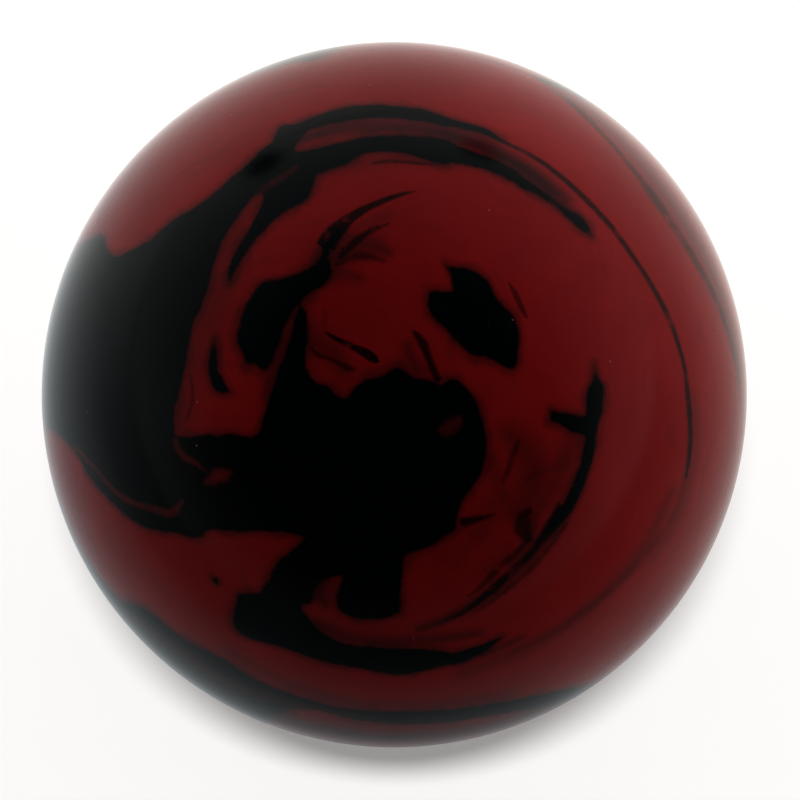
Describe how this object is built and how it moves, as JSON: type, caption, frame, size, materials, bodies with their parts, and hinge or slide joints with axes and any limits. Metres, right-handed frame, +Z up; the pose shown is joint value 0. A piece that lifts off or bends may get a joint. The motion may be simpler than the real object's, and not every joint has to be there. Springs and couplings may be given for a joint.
{
  "type": "bowling ball",
  "caption": "Small bowling ball without finger holes: a marbled resin cover cast round a dense core, with a flush locator pin.",
  "frame": {"origin": "centre of the ball", "axes": "+Z up as the ball rests, +Y out along the locator pin, +X to the right as seen from -Y"},
  "size_m": [0.127, 0.127, 0.127],
  "materials": {
    "marbled_resin": "polished resin, dark red swirled with black",
    "filled_resin": "as cast, mineral filled",
    "pin_resin": "ground and polished flush with the cover"
  },
  "bodies": {
    "root": {"cover": "marbled_resin", "core": "filled_resin", "locator_pin": "pin_resin"}
  },
  "joints": []
}
